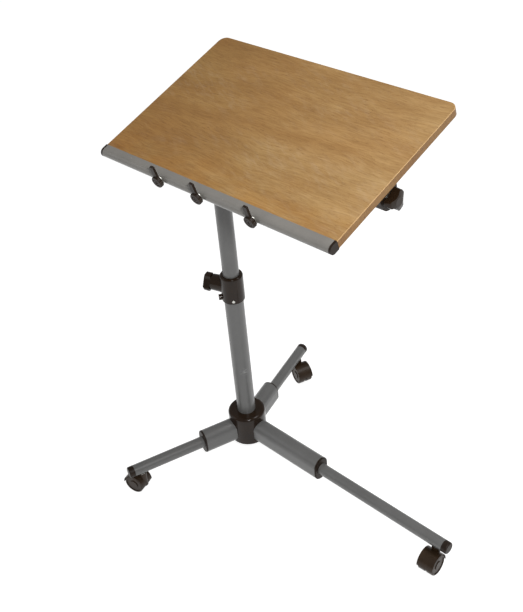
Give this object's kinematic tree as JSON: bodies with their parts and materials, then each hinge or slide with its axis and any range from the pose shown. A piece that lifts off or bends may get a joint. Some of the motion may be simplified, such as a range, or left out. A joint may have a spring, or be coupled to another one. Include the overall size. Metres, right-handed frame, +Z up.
{
  "type": "rolling laptop table with tilting top",
  "caption": "Rolling laptop table: tilting light-wood board with front rail and book stops on a height-adjustable mast, with a three-legged caster base.",
  "frame": {"origin": "on the floor, under the middle of the whole table's box", "axes": "+X along the board's front edge, over the long leg, +Y to the back of the board, +Z up"},
  "size_m": [0.7553, 0.6209, 1.016],
  "materials": {
    "wood_laminate": "satin light oak-look laminate",
    "grey_paint": "satin grey powder coat",
    "rail_grey": "satin light grey",
    "black_moulded": "satin black moulding",
    "black_gloss": "glossy black moulding",
    "plated_steel": "bright zinc plating",
    "caster_black": "satin black nylon"
  },
  "bodies": {
    "base": {"hub": "black_gloss", "hub_cover": "black_moulded", "base_screws": "plated_steel", "sleeve_long": "grey_paint", "sleeve_left": "grey_paint", "sleeve_rear": "grey_paint", "plug_long": "black_moulded", "plug_left": "black_moulded", "plug_rear": "black_moulded", "leg_long": "grey_paint", "leg_left": "grey_paint", "leg_rear": "grey_paint", "leg_cap_long": "black_moulded", "leg_cap_left": "black_moulded", "leg_cap_rear": "black_moulded", "lower_tube": "grey_paint", "clamp_collar": "black_gloss", "clamp_bush": "black_moulded", "collar_rivets": "plated_steel", "clamp_screw": "plated_steel"},
    "guide_ring": {"glide_ring": "black_moulded"},
    "mast": {"glide_plug": "black_moulded", "upper_tube": "grey_paint", "mast_head": "black_moulded", "head_bolts": "plated_steel", "cross_tube": "grey_paint", "tilt_plug": "black_moulded", "tilt_stud": "plated_steel", "tilt_washer": "plated_steel"},
    "top": {"bracket_left": "black_moulded", "bracket_right": "black_moulded", "bracket_screws": "plated_steel", "board": "wood_laminate", "front_rail": "rail_grey", "rail_cap_left": "black_moulded", "rail_cap_right": "black_moulded", "rail_screws": "plated_steel", "stop_screws": "black_moulded", "stop_washers": "plated_steel"},
    "clamp_knob": {"clamp_knob": "black_gloss"},
    "tilt_knob": {"tilt_knob": "black_gloss"},
    "stop_left": {"stop_left": "black_moulded"},
    "stop_middle": {"stop_middle": "black_moulded"},
    "stop_right": {"stop_right": "black_moulded"},
    "caster_long": {"caster_stem_long": "plated_steel", "caster_hood_long": "caster_black", "caster_axle_long": "plated_steel"},
    "wheel_long_a": {"wheel_long_a": "caster_black"},
    "wheel_long_b": {"wheel_long_b": "caster_black"},
    "caster_left": {"caster_stem_left": "plated_steel", "caster_hood_left": "caster_black", "caster_axle_left": "plated_steel"},
    "wheel_left_a": {"wheel_left_a": "caster_black"},
    "wheel_left_b": {"wheel_left_b": "caster_black"},
    "caster_rear": {"caster_stem_rear": "plated_steel", "caster_hood_rear": "caster_black", "caster_axle_rear": "plated_steel"},
    "wheel_rear_a": {"wheel_rear_a": "caster_black"},
    "wheel_rear_b": {"wheel_rear_b": "caster_black"}
  },
  "joints": [
    {"name": "mast_slide", "type": "slide", "parent": "base", "child": "guide_ring", "axis": [0, 0, 1], "range_m": [-0.28, 0.085]},
    {"name": "mast_swivel", "type": "hinge", "parent": "guide_ring", "child": "mast", "pos_m": [-0.23007, 0, 0.5], "axis": [0, 0, 1], "continuous": true},
    {"name": "top_tilt", "type": "hinge", "parent": "mast", "child": "top", "pos_m": [-0.23007, 0, 0.899], "axis": [1, 0, 0], "range_deg": [-16.2, 28.8]},
    {"name": "clamp_knob_turn", "type": "hinge", "parent": "base", "child": "clamp_knob", "pos_m": [-0.23007, 0, 0.506], "axis": [-0.9511, -0.309, 0], "range_deg": [0, 360]},
    {"name": "tilt_knob_turn", "type": "hinge", "parent": "mast", "child": "tilt_knob", "pos_m": [-0.23007, 0, 0.899], "axis": [1, 0, 0], "range_deg": [0, 360]},
    {"name": "stop_left_swing", "type": "hinge", "parent": "top", "child": "stop_left", "pos_m": [-0.18807, -0.20012, 0.89605], "axis": [0, -0.9603, -0.279], "continuous": true},
    {"name": "stop_middle_swing", "type": "hinge", "parent": "top", "child": "stop_middle", "pos_m": [-0.08107, -0.20012, 0.89605], "axis": [0, -0.9603, -0.279], "continuous": true},
    {"name": "stop_right_swing", "type": "hinge", "parent": "top", "child": "stop_right", "pos_m": [0.05593, -0.20012, 0.89605], "axis": [0, -0.9603, -0.279], "continuous": true},
    {"name": "caster_long_swivel", "type": "hinge", "parent": "base", "child": "caster_long", "pos_m": [0.3418, -0.01198, 0.05], "axis": [0, 0, 1], "continuous": true},
    {"name": "wheel_long_a_roll", "type": "hinge", "parent": "caster_long", "child": "wheel_long_a", "pos_m": [0.34246, -0.03097, 0.025], "axis": [0.9994, 0.0349, 0], "continuous": true},
    {"name": "wheel_long_b_roll", "type": "hinge", "parent": "caster_long", "child": "wheel_long_b", "pos_m": [0.34246, -0.03097, 0.025], "axis": [0.9994, 0.0349, 0], "continuous": true},
    {"name": "caster_left_swivel", "type": "hinge", "parent": "base", "child": "caster_left", "pos_m": [-0.32932, -0.27568, 0.05], "axis": [0, 0, 1], "continuous": true},
    {"name": "wheel_left_a_roll", "type": "hinge", "parent": "caster_left", "child": "wheel_left_a", "pos_m": [-0.34776, -0.28027, 0.025], "axis": [0.2419, -0.9703, 0], "continuous": true},
    {"name": "wheel_left_b_roll", "type": "hinge", "parent": "caster_left", "child": "wheel_left_b", "pos_m": [-0.34776, -0.28027, 0.025], "axis": [0.2419, -0.9703, 0], "continuous": true},
    {"name": "caster_rear_swivel", "type": "hinge", "parent": "base", "child": "caster_rear", "pos_m": [-0.30141, 0.27386, 0.05], "axis": [0, 0, 1], "continuous": true},
    {"name": "wheel_rear_a_roll", "type": "hinge", "parent": "caster_rear", "child": "wheel_rear_a", "pos_m": [-0.28379, 0.26674, 0.025], "axis": [0.3746, 0.9272, 0], "continuous": true},
    {"name": "wheel_rear_b_roll", "type": "hinge", "parent": "caster_rear", "child": "wheel_rear_b", "pos_m": [-0.28379, 0.26674, 0.025], "axis": [0.3746, 0.9272, 0], "continuous": true}
  ]
}
